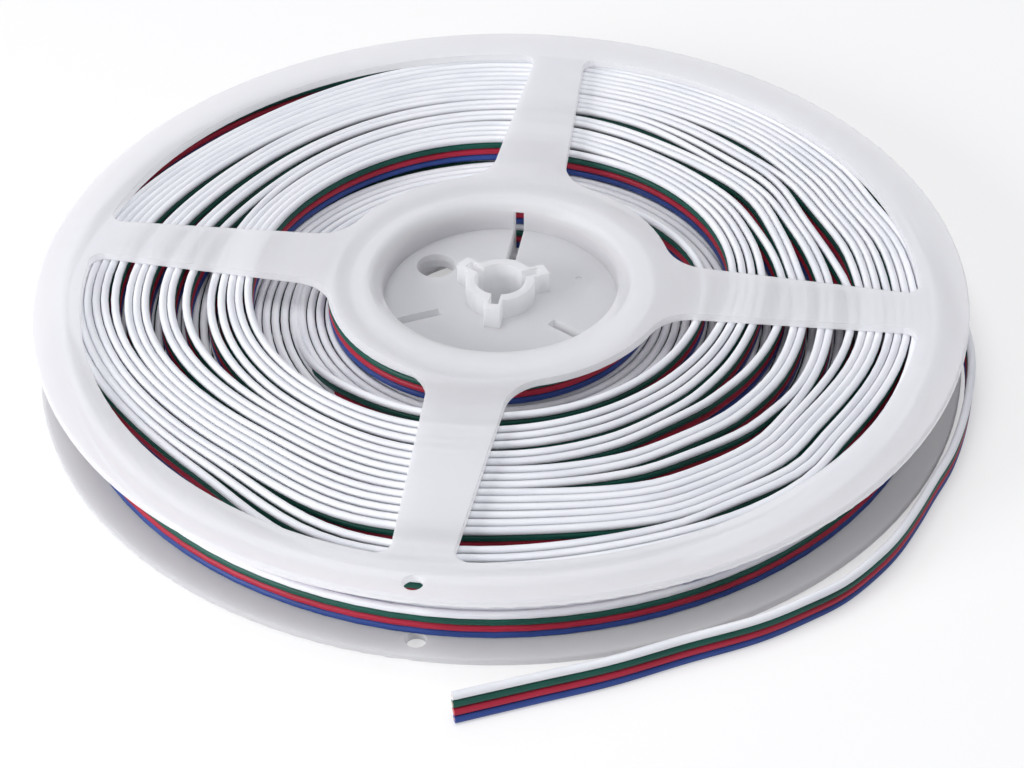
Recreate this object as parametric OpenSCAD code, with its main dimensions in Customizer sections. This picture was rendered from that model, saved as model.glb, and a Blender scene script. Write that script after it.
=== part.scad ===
// Four-core ribbon cable wound on a two-part plastic reel, with its free end lying beside it.
// Millimetres, +Z up. Origin on the reel's axis, at the face that the reel lies on.

/* [Reel] */
// Outer radius of the flanges
flange_r = 100; // [90:0.5:110]
// Thickness of each flange
flange_t = 1.7; // [1.2:0.1:2.2]
// Rounding of the flange's outer edge
flange_edge_r = 0.5; // [0.1:0.1:0.55]
// Inner radius of the barrel, which is the wall of the hub recess
recess_r = 25.5; // [23:0.5:26.5]
// Wall of the barrel
barrel_wall = 2.5; // [1.5:0.1:3]
// Rounding of the recess's mouth
mouth_round = 3; // [1:0.5:4]
// Thickness of the hub floor in each half
floor_t = 1.7; // [1.2:0.1:2.5]

/* [Flange windows] */
// Radius of the flat ring round the hub, where the windows begin
hub_ring_r = 37.3; // [34:0.1:40]
// Width of the rim outside the windows
rim_w = 10.3; // [8:0.1:14]
// Half width of a spoke at the hub ring
spoke_half_hub = 8.4; // [6:0.1:10]
// Half width of a spoke at the rim
spoke_half_rim = 5.9; // [4:0.1:8]
// Fillet between a spoke and the hub ring
hub_fillet_r = 10; // [2:0.5:12]
// Rounded corner between a spoke and the rim
rim_fillet_r = 3; // [1:0.5:5]

/* [Hub details] */
// Radius of the spindle bore
bore_r = 5.45; // [4:0.05:6]
// Outer radius of the boss round the bore
boss_r = 7.5; // [7:0.1:9]
// How far the boss stays below the flange's face
boss_drop = 1.8; // [0:0.1:4]
// Width of a keyway in the bore
key_w = 2.1; // [1:0.1:2.6]
// Distance from the axis to a keyway's end
key_reach = 8.8; // [8:0.1:9.4]
// Width of the lobe round a keyway
lobe_w = 3.7; // [3.6:0.1:5]
// Distance from the axis to a lobe's end
lobe_reach = 10.8; // [10:0.1:12.5]
// Width of the slits in the barrel and the floor
slit_w = 2.2; // [1.5:0.1:3]
// Distance from the axis to a floor slit's inner end
slit_start = 14; // [13:0.5:18]
// Distance from a slit's end to the flange
slit_end_gap = 0.4; // [0.2:0.1:2]
// Radius of the round hole through the floor
drive_hole_r = 4.25; // [3:0.05:4.5]
// Distance from the axis to the round hole
drive_hole_at = 18.5; // [17:0.5:19]
// Radius of the moulding mark on the floor
gate_r = 0.8; // [0.5:0.1:1.2]
// Radius of the tie hole in each rim
tie_hole_r = 2; // [1:0.1:2.5]
// Distance from a flange's edge to the middle of its tie hole
tie_hole_inset = 4; // [3.5:0.1:5]

/* [Cable] */
// Diameter of one insulated core
core_d = 1.7; // [1.66:0.01:1.8]
// Distance between neighbouring cores in the ribbon
core_pitch = 1.65; // [1.5:0.01:1.65]
// Clearance between the upper turns and the upper flange
top_clear = 0.2; // [0.1:0.1:1]
// Radial clearance between the barrel and the first turn
barrel_clear = 0.4; // [0.1:0.1:1]
// Radial distance between neighbouring turns
turn_pitch = 1.93; // [1.9:0.01:1.94]
// Turns in the lower layer
lower_turns = 34; // [20:1:34]
// Turns beside the barrel in the upper layer
inner_turns = 3; // [2:1:6]
// Turns in the outer part of the upper layer
outer_turns = 22; // [5:1:22]
// Turns' widths left free between the inner and the outer part of the upper layer
free_turns = 8; // [7:1:9]

/* [Hidden] */
$fn = 96;

// Cores in the ribbon, counted from the bottom: blue, red, green, white
cores = 4;
ribbon_w = cores * core_pitch;
reel_h = 2 * flange_t + 2 * ribbon_w + top_clear;
mid_z = reel_h / 2;
half_h = reel_h - mid_z;
boss_h = half_h - boss_drop;
window_r = flange_r - rim_w;
tie_hole_at = flange_r - tie_hole_inset;
barrel_r = recess_r + barrel_wall;
first_turn_r = barrel_r + barrel_clear + core_d / 2;
lower_z = flange_t;
upper_z = flange_t + ribbon_w;
coil_outer_r = first_turn_r + (lower_turns - 1) * turn_pitch + core_d / 2;

// Directions round the axis, in degrees: the keyways, and the slits between them
key_turn = 120;
key_angle = 270;
slit_angle = 90;
drive_hole_angle = 150;
gate_angle = 30;
gate_depth = 0.4;
tie_hole_angle = 270;
spokes = 4;
cut = 1; // how far a cutting body stands past the face it cuts
bite = 0.02; // how far a fillet's arc reaches past the lines it joins, so it meets them at an angle

reel_color = "#E8E9F0";
blue = "#27407F";
red = "#A01F3A";
green = "#14503F";
white = "#F4F5F8";

// ---------- reel ----------

// A spoke's edge is the line v = edge_k - edge_m * u, u along the spoke and v across it
edge_m = (spoke_half_hub - spoke_half_rim) / (window_r - hub_ring_r);
edge_k = spoke_half_hub + edge_m * hub_ring_r;
edge_len = sqrt(1 + edge_m * edge_m);
edge_normal = [edge_m, 1] / edge_len;

// Point at radius r on the spoke's edge moved sideways by the distance off
function edge_point(r, off) =
    let (k = edge_k + off * edge_len, b = k * edge_m,
         u = (b + sqrt(b * b - edge_len * edge_len * (k * k - r * r))) / (edge_len * edge_len))
    [u, k - edge_m * u];

// Material that rounds the corner between a spoke's edge and the circle of radius r;
// side is 1 at the hub ring and -1 at the rim
module corner_fill(r, fillet, side) {
    centre = edge_point(r + side * (fillet - bite), fillet - bite);
    difference() {
        polygon([centre, centre - (fillet + cut) * edge_normal, edge_point(r - side * cut, -cut),
                 centre * (r - side * cut) / norm(centre)]);
        translate(centre) circle(r = fillet);
    }
}

module window_2d() {
    apex = edge_k / (1 + edge_m);
    far_v = edge_k - edge_m * flange_r;
    difference() {
        intersection() {
            circle(r = window_r, $fn = 180);
            polygon([[apex, apex], [flange_r, far_v], [flange_r, flange_r], [far_v, flange_r]]);
        }
        circle(r = hub_ring_r);
        for (swap = [false, true])
            mirror(swap ? [1, -1] : [0, 0]) {
                corner_fill(hub_ring_r, hub_fillet_r, 1);
                corner_fill(window_r, rim_fillet_r, -1);
            }
    }
}

// Section of the turned part of a half, from the parting plane at z = 0 up
module half_section() {
    difference() {
        union() {
            square([barrel_r, floor_t]);
            translate([recess_r, 0]) square([barrel_wall, half_h]);
            translate([recess_r, half_h - flange_t])
                square([flange_r - flange_edge_r - recess_r, flange_t]);
            translate([flange_r - flange_edge_r - cut, half_h - flange_t + flange_edge_r])
                square([flange_edge_r + cut, flange_t - 2 * flange_edge_r]);
            for (z = [half_h - flange_edge_r, half_h - flange_t + flange_edge_r])
                translate([flange_r - flange_edge_r, z]) circle(r = flange_edge_r);
        }
        translate([recess_r, half_h - mouth_round])
            difference() {
                translate([-cut, 0]) square([mouth_round + cut, mouth_round + cut]);
                translate([mouth_round, 0]) circle(r = mouth_round);
                translate([mouth_round, -mouth_round]) square([cut, 2 * mouth_round]);
            }
    }
}

module boss() {
    linear_extrude(boss_h) {
        circle(r = boss_r);
        for (k = [0:2])
            rotate(key_angle + k * key_turn)
                translate([0, -lobe_w / 2]) square([lobe_reach, lobe_w]);
    }
}

// One moulding, from the parting plane at z = 0 up to its flange's face
module reel_half() {
    difference() {
        union() {
            rotate_extrude($fn = 180) half_section();
            boss();
        }
        for (k = [0:spokes - 1])
            rotate([0, 0, k * 360 / spokes])
                translate([0, 0, half_h - flange_t - cut])
                    linear_extrude(flange_t + 2 * cut) window_2d();
        translate([0, 0, -cut]) cylinder(h = half_h + 2 * cut, r = bore_r);
        for (k = [0:2]) {
            rotate([0, 0, key_angle + k * key_turn])
                translate([0, -key_w / 2, -cut]) cube([key_reach, key_w, half_h + 2 * cut]);
            rotate([0, 0, slit_angle + k * key_turn])
                translate([slit_start, -slit_w / 2, -cut])
                    cube([barrel_r + cut - slit_start, slit_w,
                          half_h - flange_t - slit_end_gap + cut]);
        }
        rotate([0, 0, tie_hole_angle])
            translate([tie_hole_at, 0, half_h - flange_t - cut])
                cylinder(h = flange_t + 2 * cut, r = tie_hole_r);
    }
}

module drive_hole(angle) {
    rotate([0, 0, angle])
        translate([drive_hole_at, 0, -cut]) cylinder(h = floor_t + 2 * cut, r = drive_hole_r);
}

module upper_reel_half() {
    color(reel_color) translate([0, 0, mid_z])
        difference() {
            reel_half();
            drive_hole(drive_hole_angle);
            rotate([0, 0, gate_angle])
                translate([drive_hole_at, 0, floor_t - gate_depth]) cylinder(h = cut, r = gate_r);
        }
}

// The same moulding turned over about the line through the tie hole and the axis
module lower_reel_half() {
    color(reel_color) translate([0, 0, mid_z]) rotate([0, 180, 0])
        difference() {
            reel_half();
            drive_hole(180 - drive_hole_angle);
        }
}

// ---------- wound turns ----------

// Section of one core through a row of turns: round at both ends, and ridged on its top
// or its bottom where each turn shows by itself
module turns_section(first_r, turns, z, ridged_top, ridged_bottom) {
    centre_z = z + core_pitch / 2;
    width = (turns - 1) * turn_pitch;
    low = ridged_bottom ? centre_z : z;
    high = ridged_top ? centre_z : z + core_pitch;
    shown = ridged_top || ridged_bottom ? [0:turns - 1] : [0:max(1, turns - 1):turns - 1];
    intersection() {
        union() {
            translate([first_r, low]) square([width, high - low]);
            for (i = shown)
                translate([first_r + i * turn_pitch, centre_z]) circle(d = core_d, $fn = 32);
        }
        translate([first_r - core_d, z]) square([width + 2 * core_d, core_pitch]);
    }
}

// Rings of turns of core k, from the bottom up, in a row that starts at radius first_r
module coil(first_r, turns, z, k, ridged_bottom = false) {
    rotate_extrude($fn = 180)
        turns_section(first_r, turns, z + k * core_pitch, k == cores - 1, k == 0 && ridged_bottom);
}

outer_first_r = first_turn_r + (inner_turns + free_turns) * turn_pitch;

module lower_coil(k) {
    coil(first_turn_r, lower_turns, lower_z, k, true);
}

module inner_coil(k) {
    coil(first_turn_r, inner_turns, upper_z, k);
}

module outer_coil(k) {
    coil(outer_first_r, outer_turns, upper_z, k);
}

module blue_lower_coil() { color(blue) lower_coil(0); }
module red_lower_coil() { color(red) lower_coil(1); }
module green_lower_coil() { color(green) lower_coil(2); }
module white_lower_coil() { color(white) lower_coil(3); }
module blue_inner_coil() { color(blue) inner_coil(0); }
module red_inner_coil() { color(red) inner_coil(1); }
module green_inner_coil() { color(green) inner_coil(2); }
module white_inner_coil() { color(white) inner_coil(3); }
module blue_outer_coil() { color(blue) outer_coil(0); }
module red_outer_coil() { color(red) outer_coil(1); }
module green_outer_coil() { color(green) outer_coil(2); }
module white_outer_coil() { color(white) outer_coil(3); }

// ---------- free end ----------

// Route of the ribbon's lower edge: x, y, height above the surface, and the angle that
// the ribbon leans back towards the reel
tail_route = [
    [54.5, 77.4, 1.7, 0], [67.5, 67, 1.7, 0], [79.5, 55, 1.7, 0], [89, 41, 1.7, 0], [96, 25.5, 1.7, 0],
    [100, 8.5, 1.7, 0], [101.5, -4, 1.5, 0], [100.5, -18, 0.5, 0], [98, -30.5, 0, 0],
    [94.5, -40.5, 0, 0], [91.5, -49, 0, 0], [88, -57.5, 0, 0], [84, -64.5, 0, 0],
    [78.5, -72, 0, 0], [72, -78, 0, 1], [63, -85, 0, 3], [50, -92.5, 0, 6], [37.5, -100, 0, 9],
    [24.5, -106.5, 0, 12], [10.5, -113.5, 0, 15],
];
tail_last = len(tail_route) - 1;
steps = 3; // rings from one route point to the next
sides = 8;

function route_at(i) = tail_route[max(0, min(tail_last, i))];

// Point on a smooth curve through the route, f of the way from point i to the next
function smooth(i, f) =
    let (a = route_at(i - 1), b = route_at(i), c = route_at(i + 1), d = route_at(i + 2))
    0.5 * (2 * b + (c - a) * f + (2 * a - 5 * b + 4 * c - d) * f * f
        + (3 * b - a - 3 * c + d) * f * f * f);

tail_line = [for (i = [0:tail_last - 1], j = [0:steps - 1]) smooth(i, j / steps), tail_route[tail_last]];
tail_rings = len(tail_line);

function heading(i) =
    let (a = tail_line[max(0, i - 1)], b = tail_line[min(tail_rings - 1, i + 1)])
    atan2(b[1] - a[1], b[0] - a[0]);

// One ring of core k: an octagon as wide as the core pitch, square to the route
function tail_ring(i, k) =
    let (p = tail_line[i], h = heading(i), lean = p[3],
         along = [cos(h), sin(h), 0],
         outward = [-sin(h), cos(h), 0],
         up = [0, 0, cos(lean)] - sin(lean) * outward,
         across = cross(up, along),
         corner_r = core_pitch / 2 / cos(180 / sides),
         lift = corner_r * cos(180 / sides - lean),
         middle = [p[0], p[1], max(0, p[2]) + lift] + k * core_pitch * up)
    [for (s = [0:sides - 1])
        let (a = (s + 0.5) * 360 / sides)
        middle + corner_r * (cos(a) * across + sin(a) * up)];

module tail(k) {
    points = [for (i = [0:tail_rings - 1]) each tail_ring(i, k)];
    walls = [for (i = [0:tail_rings - 2], s = [0:sides - 1])
        let (a = i * sides + s, b = i * sides + (s + 1) % sides, c = b + sides, d = a + sides)
        each s < sides / 2 ? [[a, b, c], [a, c, d]] : [[a, b, d], [b, c, d]]];
    near = [[for (s = [0:sides - 1]) sides - 1 - s]];
    far = [[for (s = [0:sides - 1]) (tail_rings - 1) * sides + s]];
    polyhedron(points, concat(near, walls, far));
}

module blue_tail() { color(blue) tail(0); }
module red_tail() { color(red) tail(1); }
module green_tail() { color(green) tail(2); }
module white_tail() { color(white) tail(3); }

upper_reel_half();
lower_reel_half();
blue_lower_coil();
red_lower_coil();
green_lower_coil();
white_lower_coil();
blue_inner_coil();
red_inner_coil();
green_inner_coil();
white_inner_coil();
blue_outer_coil();
red_outer_coil();
green_outer_coil();
white_outer_coil();
blue_tail();
red_tail();
green_tail();
white_tail();
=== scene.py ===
"""A reel of four-core ribbon cable: the looks of each piece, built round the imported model."""

import math

import bpy
import numpy as np
from mathutils import Matrix, Vector


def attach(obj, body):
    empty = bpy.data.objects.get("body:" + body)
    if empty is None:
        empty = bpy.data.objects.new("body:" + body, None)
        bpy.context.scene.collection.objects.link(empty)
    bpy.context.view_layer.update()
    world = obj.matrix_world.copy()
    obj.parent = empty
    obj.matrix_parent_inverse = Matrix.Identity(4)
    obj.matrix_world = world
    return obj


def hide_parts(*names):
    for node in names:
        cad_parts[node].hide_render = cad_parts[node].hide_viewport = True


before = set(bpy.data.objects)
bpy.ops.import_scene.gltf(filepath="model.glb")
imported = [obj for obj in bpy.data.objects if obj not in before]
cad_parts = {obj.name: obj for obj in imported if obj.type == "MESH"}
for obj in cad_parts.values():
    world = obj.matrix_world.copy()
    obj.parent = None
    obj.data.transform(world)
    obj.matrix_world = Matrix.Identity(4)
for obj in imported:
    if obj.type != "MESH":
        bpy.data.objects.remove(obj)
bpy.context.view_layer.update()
bpy.ops.object.select_all(action="DESELECT")

# ---------- The camera ----------
# A long lens from the front and above. The reel lies turned a little to the left, so the spoke
# with the tie hole points past the camera's left side.

reel_turn = math.radians(9.8)
camera_place = Matrix.Rotation(reel_turn, 3, "Z") @ Vector((0.00154, -0.38988, 0.30752))
bpy.ops.object.camera_add(location=camera_place)
camera = bpy.context.object
camera.rotation_euler = (
    Matrix.Rotation(reel_turn, 3, "Z")
    @ Matrix.Rotation(math.radians(50.5), 3, "X")
    @ Matrix.Rotation(math.radians(-0.65), 3, "Z")
).to_euler()
camera.data.sensor_width = 36
camera.data.lens = 79.2
camera.data.shift_x = 0.0034
camera.data.shift_y = -0.0018
camera.data.clip_start = 0.01
bpy.context.scene.camera = camera

# ---------- The cable's free end ----------
# Four cores of stranded copper in soft PVC, bonded side by side into a ribbon that stands on
# edge. The free end leaves the winding at the right, comes out between the rims, drops over the
# lower rim and lies on the surface in front of the reel, where it is cut square.

core_pitch = 0.00165
core_radius = 0.00085
cores = ("blue", "red", "green", "white")  # from the bottom up


def curve_point(points, i, f):
    """A point on a smooth curve through the points, f of the way from point i to the next."""
    last = len(points) - 1
    a, b, c, d = (points[max(0, min(last, k))] for k in (i - 1, i, i + 1, i + 2))
    bend = (2 * a - 5 * b + 4 * c - d) * f**2
    twist = (3 * b - a - 3 * c + d) * f**3
    return 0.5 * (2 * b + (c - a) * f + bend + twist)


def insulated_core(name, line):
    """One core swept along a line: a round tube with flat ends, and a UV map that runs along it."""
    curve = bpy.data.curves.new(name, "CURVE")
    curve.dimensions = "3D"
    curve.twist_mode = "Z_UP"
    curve.bevel_depth = core_radius
    curve.bevel_resolution = 4
    curve.use_fill_caps = True
    spline = curve.splines.new("POLY")
    spline.points.add(len(line) - 1)
    spline.points.foreach_set("co", np.column_stack([line, np.ones(len(line))]).ravel())
    core = bpy.data.objects.new(name, curve)
    bpy.context.scene.collection.objects.link(core)
    bpy.ops.object.select_all(action="DESELECT")
    core.select_set(True)
    bpy.context.view_layer.objects.active = core
    bpy.ops.object.convert(target="MESH")
    core = bpy.context.object
    bpy.ops.object.shade_smooth_by_angle(angle=math.radians(50))

    mesh = core.data
    corner_vertex = np.zeros(len(mesh.loops), dtype=np.int64)
    mesh.loops.foreach_get("vertex_index", corner_vertex)
    sides = len(mesh.vertices) // len(line)
    along = np.concatenate([[0], np.cumsum(np.linalg.norm(np.diff(line, axis=0), axis=1))])
    ring = np.minimum(corner_vertex // sides, len(line) - 1)
    around = (corner_vertex % sides) / sides
    uv = mesh.uv_layers.new(name="along") if not mesh.uv_layers else mesh.uv_layers[0]
    uv.name = "along"
    uv.data.foreach_set("uv", np.column_stack([along[ring], around]).ravel())
    return core


def pvc(name, shade, base, line_depth):
    """Soft extruded PVC: a base colour with slow changes along the core, and fine drawing lines."""
    material = bpy.data.materials.new(name)
    material.use_nodes = True
    nodes, links = material.node_tree.nodes, material.node_tree.links
    bsdf = nodes["Principled BSDF"]
    bsdf.inputs["Roughness"].default_value = 0.45
    bsdf.inputs["Specular IOR Level"].default_value = 0.3
    uv = nodes.new("ShaderNodeUVMap")
    uv.uv_map = "along"
    stretch = nodes.new("ShaderNodeMapping")
    stretch.inputs["Scale"].default_value = (60, 2.5, 1)
    slow = nodes.new("ShaderNodeTexNoise")
    slow.inputs["Scale"].default_value = 1.0
    slow.inputs["Detail"].default_value = 3.0
    mix = nodes.new("ShaderNodeMix")
    mix.data_type = "RGBA"
    mix.inputs["A"].default_value = (*shade, 1)
    mix.inputs["B"].default_value = (*base, 1)
    ramp = nodes.new("ShaderNodeMapRange")
    ramp.inputs["From Min"].default_value = 0.35
    ramp.inputs["From Max"].default_value = 0.55
    links.new(uv.outputs["UV"], stretch.inputs["Vector"])
    links.new(stretch.outputs["Vector"], slow.inputs["Vector"])
    links.new(slow.outputs["Fac"], ramp.inputs["Value"])
    links.new(ramp.outputs["Result"], mix.inputs["Factor"])
    links.new(mix.outputs["Result"], bsdf.inputs["Base Color"])

    lines = nodes.new("ShaderNodeTexNoise")
    lines.inputs["Scale"].default_value = 1.0
    lines.inputs["Detail"].default_value = 4.0
    line_stretch = nodes.new("ShaderNodeMapping")
    line_stretch.inputs["Scale"].default_value = (220, 40, 1)
    bump = nodes.new("ShaderNodeBump")
    bump.inputs["Strength"].default_value = line_depth
    bump.inputs["Distance"].default_value = 0.00004
    links.new(uv.outputs["UV"], line_stretch.inputs["Vector"])
    links.new(line_stretch.outputs["Vector"], lines.inputs["Vector"])
    links.new(lines.outputs["Fac"], bump.inputs["Height"])
    links.new(bump.outputs["Normal"], bsdf.inputs["Normal"])
    return material


core_pvc = {
    "blue": pvc("blue_pvc", (0.018, 0.045, 0.200), (0.030, 0.070, 0.290), 0.5),
    "red": pvc("red_pvc", (0.330, 0.010, 0.030), (0.450, 0.018, 0.050), 0.5),
    "green": pvc("green_pvc", (0.003, 0.055, 0.040), (0.006, 0.085, 0.062), 0.5),
    "white": pvc("white_pvc", (0.740, 0.750, 0.800), (0.820, 0.830, 0.865), 0.4),
}


def finish_core(core, colour):
    core.data.materials.clear()
    core.data.materials.append(core_pvc[colour])
    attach(core, "root")


# The ribbon's lower edge: x and y, height above the surface, and the degrees that it leans back
tail_route = [
    np.array(p, dtype=float) / (1000, 1000, 1000, 1)
    for p in (
        (54.5, 77.4, 1.7, 0), (67.5, 67, 1.7, 0), (79.5, 55, 1.7, 0), (89, 41, 1.7, 0),
        (96, 25.5, 1.7, 0), (100, 8.5, 1.7, 0), (101.5, -4, 1.5, 0), (100.5, -18, 0.5, 0),
        (98, -30.5, 0, 0), (94.5, -40.5, 0, 0), (91.5, -49, 0, 0), (88, -57.5, 0, 0),
        (84, -64.5, 0, 0), (78.5, -72, 0, 0), (72, -78, 0, 1), (63, -85, 0, 3),
        (50, -92.5, 0, 6), (37.5, -100, 0, 9), (24.5, -106.5, 0, 12), (10.5, -113.5, 0, 15),
    )
]
tail_steps = 6
tail_line = [
    curve_point(tail_route, i, j / tail_steps)
    for i in range(len(tail_route) - 1)
    for j in range(tail_steps)
] + [tail_route[-1]]


def tail_core_line(k):
    """The centreline of core k of the free end, counted from the bottom."""
    line = []
    for i, p in enumerate(tail_line):
        ahead = tail_line[min(i + 1, len(tail_line) - 1)] - tail_line[max(i - 1, 0)]
        heading = math.atan2(ahead[1], ahead[0])
        lean = math.radians(p[3])
        back = math.sin(lean)
        up = Vector((math.sin(heading) * back, -math.cos(heading) * back, math.cos(lean)))
        line.append(Vector((p[0], p[1], max(0, p[2]) + core_radius)) + k * core_pitch * up)
    return line


# Seven fine wires of bare copper show in each core's cut face and stand just proud of it.
strand_radius = 0.00012
strand_length = 0.0008
strand_inside = 0.00038  # from the cut face back to the middle of a wire
copper = bpy.data.materials.new("bare_copper")
copper.use_nodes = True
nodes, links = copper.node_tree.nodes, copper.node_tree.links
bsdf = nodes["Principled BSDF"]
bsdf.inputs["Metallic"].default_value = 1.0
place = nodes.new("ShaderNodeTexCoord")
cut_marks = nodes.new("ShaderNodeTexNoise")
cut_marks.inputs["Scale"].default_value = 9000
tarnish = nodes.new("ShaderNodeMix")
tarnish.data_type = "RGBA"
tarnish.inputs["A"].default_value = (0.60, 0.27, 0.14, 1)
tarnish.inputs["B"].default_value = (0.90, 0.50, 0.32, 1)
dull = nodes.new("ShaderNodeMapRange")
dull.inputs["To Min"].default_value = 0.25
dull.inputs["To Max"].default_value = 0.50
links.new(place.outputs["Object"], cut_marks.inputs["Vector"])
links.new(cut_marks.outputs["Fac"], tarnish.inputs["Factor"])
links.new(tarnish.outputs["Result"], bsdf.inputs["Base Color"])
links.new(cut_marks.outputs["Fac"], dull.inputs["Value"])
links.new(dull.outputs["Result"], bsdf.inputs["Roughness"])


def copper_strands(name, end, ahead):
    """The wires in one core's cut face: one in the middle, six round it, slightly domed."""
    turn = Vector(ahead).to_track_quat("Z", "Y")
    wires = []
    for i in range(7):
        out = 0 if i == 0 else 2.05 * strand_radius
        around = math.radians(60 * i)
        offset = Vector((out * math.cos(around), out * math.sin(around), 0))
        bpy.ops.object.select_all(action="DESELECT")
        bpy.ops.mesh.primitive_cylinder_add(
            vertices=10, radius=strand_radius, depth=strand_length,
            location=Vector(end) + turn @ offset - strand_inside * Vector(ahead),
            rotation=turn.to_euler())
        wire = bpy.context.object
        rounding = wire.modifiers.new("cut edge", "BEVEL")
        rounding.width = 0.00003
        rounding.segments = 2
        bpy.ops.object.modifier_apply(modifier=rounding.name)
        wires.append(wire)
    for wire in wires:
        wire.select_set(True)
    bpy.context.view_layer.objects.active = wires[0]
    bpy.ops.object.join()
    strands = bpy.context.object
    strands.name = name
    bpy.ops.object.transform_apply(location=True, rotation=True, scale=True)
    bpy.ops.object.shade_smooth_by_angle(angle=math.radians(40))
    strands.data.materials.append(copper)
    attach(strands, "root")
    return strands


for k, colour in enumerate(cores):
    line = tail_core_line(k)
    core = insulated_core(f"{colour}_free_end", np.array(line))
    finish_core(core, colour)
    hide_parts(f"{colour}_tail")
    strands = copper_strands(f"{colour}_core_strands", line[-1], (line[-1] - line[-2]).normalized())

# ---------- The lower layer of the winding ----------
# Nearly thirty-four turns of the ribbon, standing on the lower flange and filling it from the
# barrel to the rim. They are wound by a machine under light tension, so they lie close but not
# quite even, and at the back some of them stand apart.

lower_z = 0.0017
wobble = 0.00005  # how unevenly the machine lays the turns
ribbon_exit = math.degrees(math.atan2(77.4, 54.5))  # the direction in which the free end leaves


def apart(turn, start, widest, end, width):
    """A place where a turn stands away from the one inside it, as directions round the axis.

    Directions fall as the ribbon winds outwards. The gap grows from its start to its widest
    direction, and shrinks to its end."""
    return turn, start, widest, end, width


def gap_width(place, first_direction, angle):
    """How wide a place's gap is at an angle along the winding that starts in a direction."""
    turn, start, widest, end, width = place
    start, widest, end = (360 * turn + first_direction - d for d in (start, widest, end))
    if not start < angle < end:
        return 0.0
    share = (angle - start) / (widest - start) if angle < widest else (end - angle) / (end - widest)
    return width * math.sin(math.pi / 2 * share) ** 2


def ring_radius(stations, direction):
    """A radius that changes smoothly round the axis through stations of direction and radius."""
    angles = [s[0] for s in stations]
    direction = (direction - angles[0]) % 360 + angles[0]
    i = max(k for k in range(len(angles)) if angles[k] <= direction)
    after = angles[i + 1] if i + 1 < len(angles) else angles[0] + 360
    ring = [stations[(i + k) % len(angles)][1] for k in (-1, 0, 1, 2)]
    return curve_point(ring, 1, (direction - angles[i]) / (after - angles[i]))


def wound_line(first_direction, turns, step, inner, outer, places, z):
    """The middle line of the ribbon's lowest core, wound outwards and clockwise.

    The first turn follows the inner radii and the last the outer ones, and the turns share the
    room that the places leave between them."""
    line = []
    angles = np.linspace(0, 360 * turns, round(360 * turns / step) + 1)
    for angle in angles:
        direction = first_direction - angle
        open_here = sum(
            gap_width(place, first_direction, angle % 360 + 360 * k)
            for place in places
            for k in range(-1, math.ceil(turns) + 1)
        )
        base = ring_radius(inner, direction)
        pitch = (ring_radius(outer, direction) - base - open_here) / turns
        radius = base + pitch * angle / 360
        for place in places:
            inside = angle - 360
            while inside > -360:
                radius += gap_width(place, first_direction, inside)
                inside -= 360
        radius += wobble * (math.sin(angle * 0.0311) + math.sin(angle * 0.0173 + 1.0))
        a = math.radians(direction)
        line.append((radius * math.cos(a), radius * math.sin(a), z))
    return np.array(line)


lower_line = wound_line(
    first_direction=ribbon_exit + 0.7 * 360, turns=33.7, step=4,
    inner=[(0, 0.0291), (90, 0.0291), (180, 0.0291), (270, 0.0291)],
    outer=[
        (0, 0.0947), (55, 0.09466), (100, 0.0947), (180, 0.0943), (215, 0.0941), (250, 0.0948),
        (280, 0.0953),
    ],
    places=[apart(13, 165, 115, 85, 0.0026), apart(15, 200, 160, 120, 0.0012)],
    z=lower_z + core_radius,
)
for k, colour in enumerate(cores):
    core = insulated_core(f"{colour}_lower_turns", lower_line + (0, 0, k * core_pitch))
    finish_core(core, colour)
    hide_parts(f"{colour}_lower_coil")

# ---------- The turns beside the barrel, and the crossing turn ----------
# Three turns of the upper layer lie against the barrel. The ribbon then swings out over the lower
# layer in one loose turn, and comes down into it at the front left.

crossing_stations = [
    # direction, radius and height of the ribbon's lower edge
    (1150, 28.9, 8.3), (1060, 29.3, 8.3), (970, 29.8, 8.3), (880, 30.2, 8.3), (790, 30.6, 8.3),
    (700, 31.0, 8.3), (610, 31.4, 8.3), (520, 31.9, 8.3), (430, 32.3, 8.3), (340, 32.7, 8.3),
    (285, 33.8, 8.3), (260, 35.2, 8.3), (225, 36.2, 8.3), (190, 36.6, 8.3), (150, 36.8, 8.3),
    (110, 37.0, 8.3), (80, 37.4, 8.3), (60, 38.6, 8.3), (40, 41.0, 8.3), (15, 43.8, 8.3),
    (-20, 43.9, 8.3), (-50, 44.2, 8.3), (-80, 44.6, 8.2), (-100, 44.8, 7.2), (-120, 44.9, 6.2),
    (-135, 44.9, 4.4), (-150, 44.7, 2.4), (-165, 44.6, 1.7), (-185, 44.6, 1.7),
]
crossing_stations = np.array(crossing_stations, dtype=float)
crossing_step = 4  # degrees
crossing_line = []
for i in range(len(crossing_stations) - 1):
    span = crossing_stations[i][0] - crossing_stations[i + 1][0]
    steps = round(span / crossing_step)
    for j in range(steps):
        direction, radius, height = curve_point(crossing_stations, i, j / steps)
        a = math.radians(direction)
        crossing_line.append(np.array([radius * math.cos(a), radius * math.sin(a), height]) / 1000)
crossing_line = np.array(crossing_line) + (0, 0, core_radius)
for k, colour in enumerate(cores):
    core = insulated_core(f"{colour}_inner_turns", crossing_line + (0, 0, k * core_pitch))
    finish_core(core, colour)
    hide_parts(f"{colour}_inner_coil")

# ---------- The outer part of the upper layer ----------
# Some eighteen turns directly under the upper flange. Their tension changed as they were wound,
# so here and there a turn stands off from the one inside it and shows the colours of its side.

upper_z = 0.0083

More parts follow.
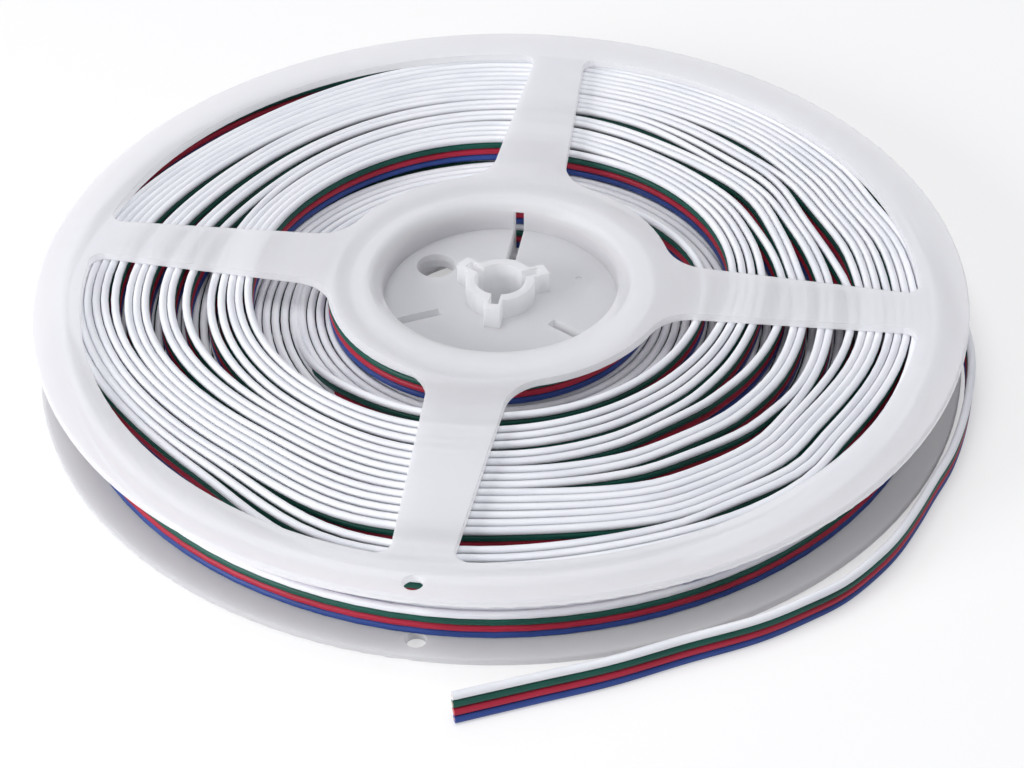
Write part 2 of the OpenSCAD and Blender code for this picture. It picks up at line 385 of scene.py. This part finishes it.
upper_line = wound_line(
    first_direction=85, turns=18.4, step=3,
    inner=[
        (-245, 0.0533), (-215, 0.0537), (-185, 0.0536), (-155, 0.0527), (-125, 0.0507),
        (-95, 0.0488), (-65, 0.0475), (-35, 0.0475), (-5, 0.0487), (25, 0.0511), (55, 0.0524),
        (85, 0.0524),
    ],
    outer=[(0, 0.0929), (55, 0.0922), (110, 0.0940), (180, 0.0956), (235, 0.0950), (300, 0.0933)],
    places=[apart(turn, 60, -30, -110, 0.0004) for turn in range(5)] + [
        apart(0, 175, 85, 60, 0.0016), apart(0, -100, -160, -180, 0.0004),
        apart(2, 35, -62, -115, 0.0009), apart(2, -75, -135, -185, 0.0006),
        apart(3, 38, -5, -50, 0.0030), apart(3, -90, -155, -190, 0.0005),
        apart(3, -190, -215, -290, 0.0008), apart(4, 115, 78, 35, 0.0014),
        apart(4, 70, 40, 12, 0.0020), apart(4, 15, -33, -85, 0.0032),
        apart(4, -120, -170, -212, 0.0036), apart(5, -100, -190, -290, 0.0019),
        apart(6, 105, 72, 46, 0.0022), apart(6, 40, 10, -35, 0.0022),
        apart(6, 5, -25, -78, 0.0024), apart(7, 78, 50, 28, 0.0010),
        apart(7, -18, -46, -82, 0.0030), apart(7, -100, -188, -285, 0.0023),
        apart(8, 85, 55, 30, 0.0010), apart(8, 24, -2, -28, 0.0026),
        apart(8, -85, -115, -140, 0.0003), apart(9, 48, 20, 4, 0.0024),
        apart(9, 20, -7, -35, 0.0008), apart(10, 110, 78, 55, 0.0004),
        apart(10, 72, 52, 38, 0.0018), apart(10, 38, 18, 2, 0.0004),
        apart(10, -140, -190, -240, 0.0022), apart(11, -155, -170, -190, 0.0005),
        apart(12, 25, -35, -52, 0.0009), apart(12, -105, -135, -160, 0.0004),
        apart(13, -50, -83, -132, 0.0032), apart(13, 30, 15, 0, 0.0003),
        apart(14, -33, -47, -58, 0.0014), apart(14, -88, -112, -150, 0.0006),
        apart(15, 2, -27, -38, 0.0018), apart(15, -78, -104, -140, 0.0011),
        apart(16, -38, -70, -110, 0.0021), apart(16, -98, -126, -168, 0.0070),
        apart(17, -123, -155, -175, 0.0010), apart(16, -166, -214, -262, 0.0056),
        apart(17, 38, 28, 16, 0.0012),
    ],
    z=upper_z + core_radius,
)
for k, colour in enumerate(cores):
    core = insulated_core(f"{colour}_outer_turns", upper_line + (0, 0, k * core_pitch))
    finish_core(core, colour)
    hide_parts(f"{colour}_outer_coil")

# ---------- The reel ----------
# Two equal mouldings of milky plastic, a little translucent, joined at mid-height of the barrel.
# Their sharp edges are slightly rounded by the mould, and their faces have a faint cloudiness.

milky = bpy.data.materials.new("milky_plastic")
milky.use_nodes = True
nodes, links = milky.node_tree.nodes, milky.node_tree.links
bsdf = nodes["Principled BSDF"]
bsdf.inputs["Specular IOR Level"].default_value = 0.4
place = nodes.new("ShaderNodeTexCoord")

cloud = nodes.new("ShaderNodeTexNoise")  # where the plastic is a little thicker or thinner
cloud.inputs["Scale"].default_value = 45
cloud.inputs["Detail"].default_value = 4
tint = nodes.new("ShaderNodeMix")
tint.data_type = "RGBA"
tint.inputs["A"].default_value = (0.90, 0.905, 0.93, 1)
tint.inputs["B"].default_value = (0.95, 0.955, 0.97, 1)
links.new(place.outputs["Object"], cloud.inputs["Vector"])
links.new(cloud.outputs["Fac"], tint.inputs["Factor"])
links.new(tint.outputs["Result"], bsdf.inputs["Base Color"])

rubbed = nodes.new("ShaderNodeTexNoise")  # faint rubbing marks from handling
rubbed.inputs["Scale"].default_value = 160
rubbed.inputs["Detail"].default_value = 5
gloss = nodes.new("ShaderNodeMapRange")
gloss.inputs["To Min"].default_value = 0.26
gloss.inputs["To Max"].default_value = 0.46
links.new(place.outputs["Object"], rubbed.inputs["Vector"])
links.new(rubbed.outputs["Fac"], gloss.inputs["Value"])
links.new(gloss.outputs["Result"], bsdf.inputs["Roughness"])

edge = nodes.new("ShaderNodeBevel")
edge.samples = 4
edge.inputs["Radius"].default_value = 0.0005
skin = nodes.new("ShaderNodeBump")
skin.inputs["Strength"].default_value = 0.25
skin.inputs["Distance"].default_value = 0.00003
links.new(rubbed.outputs["Fac"], skin.inputs["Height"])
links.new(edge.outputs["Normal"], skin.inputs["Normal"])
links.new(skin.outputs["Normal"], bsdf.inputs["Normal"])

through = nodes.new("ShaderNodeBsdfTranslucent")
through.inputs["Color"].default_value = (0.98, 0.98, 0.99, 1)
body = nodes.new("ShaderNodeMixShader")
body.inputs["Fac"].default_value = 0.5
clear = nodes.new("ShaderNodeBsdfTransparent")
whole = nodes.new("ShaderNodeMixShader")
whole.inputs["Fac"].default_value = 0.24
links.new(bsdf.outputs["BSDF"], body.inputs[1])
links.new(through.outputs["BSDF"], body.inputs[2])
links.new(body.outputs["Shader"], whole.inputs[1])
links.new(clear.outputs["BSDF"], whole.inputs[2])
links.new(whole.outputs["Shader"], nodes["Material Output"].inputs["Surface"])
for half in ("upper_reel_half", "lower_reel_half"):
    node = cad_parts[half]
    node.data.materials.clear()
    node.data.materials.append(milky)

# ---------- The floor and the lights ----------
# A large sheet of white paper, which the camera sees a little brighter than it is lit. A low lamp
# stands at the front left and a softer one hangs overhead, in a room with white walls.

bpy.ops.mesh.primitive_plane_add(size=6, location=(0, 0, 0))
floor = bpy.context.object
floor.name = "floor"
paper = bpy.data.materials.new("white_paper")
paper.use_nodes = True
nodes, links = paper.node_tree.nodes, paper.node_tree.links
bsdf = nodes["Principled BSDF"]
bsdf.inputs["Base Color"].default_value = (0.95, 0.95, 0.95, 1)
bsdf.inputs["Roughness"].default_value = 0.9
glow = nodes.new("ShaderNodeEmission")
seen = nodes.new("ShaderNodeLightPath")
share = nodes.new("ShaderNodeMath")
share.operation = "MULTIPLY"
share.inputs[1].default_value = 0.42
blend = nodes.new("ShaderNodeMixShader")
links.new(seen.outputs["Is Camera Ray"], share.inputs[0])
links.new(share.outputs["Value"], blend.inputs["Fac"])
links.new(bsdf.outputs["BSDF"], blend.inputs[1])
links.new(glow.outputs["Emission"], blend.inputs[2])
links.new(blend.outputs["Shader"], nodes["Material Output"].inputs["Surface"])
floor.data.materials.append(paper)

world = bpy.data.worlds.new("studio")
bpy.context.scene.world = world
world.use_nodes = True
nodes, links = world.node_tree.nodes, world.node_tree.links
sky = nodes["Background"]
sky.inputs["Color"].default_value = (0.93, 0.94, 1.0, 1)
sky.inputs["Strength"].default_value = 0.42
backdrop = nodes.new("ShaderNodeBackground")
backdrop.inputs["Strength"].default_value = 1.0
world_seen = nodes.new("ShaderNodeLightPath")
mirrored = nodes.new("ShaderNodeMath")
mirrored.operation = "MAXIMUM"
shown = nodes.new("ShaderNodeMath")
shown.operation = "MAXIMUM"
world_blend = nodes.new("ShaderNodeMixShader")
links.new(world_seen.outputs["Is Glossy Ray"], mirrored.inputs[0])
links.new(world_seen.outputs["Is Transmission Ray"], mirrored.inputs[1])
links.new(world_seen.outputs["Is Camera Ray"], shown.inputs[0])
links.new(mirrored.outputs["Value"], shown.inputs[1])
links.new(shown.outputs["Value"], world_blend.inputs["Fac"])
links.new(sky.outputs["Background"], world_blend.inputs[1])
links.new(backdrop.outputs["Background"], world_blend.inputs[2])
links.new(world_blend.outputs["Shader"], nodes["World Output"].inputs["Surface"])

for name, spot, size, power in (
    ("key", Vector((-0.8, -0.65, 0.40)), 0.5, 7.6),
    ("overhead", Vector((-0.1, 0, 1.0)), 0.7, 4.7),
):
    bpy.ops.object.light_add(type="AREA", location=spot)
    lamp = bpy.context.object
    lamp.name = name
    lamp.data.shape = "DISK"
    lamp.data.size = size
    lamp.data.energy = power
    lamp.rotation_euler = (-spot).to_track_quat("-Z", "Y").to_euler()

bpy.context.scene.view_settings.view_transform = "Standard"
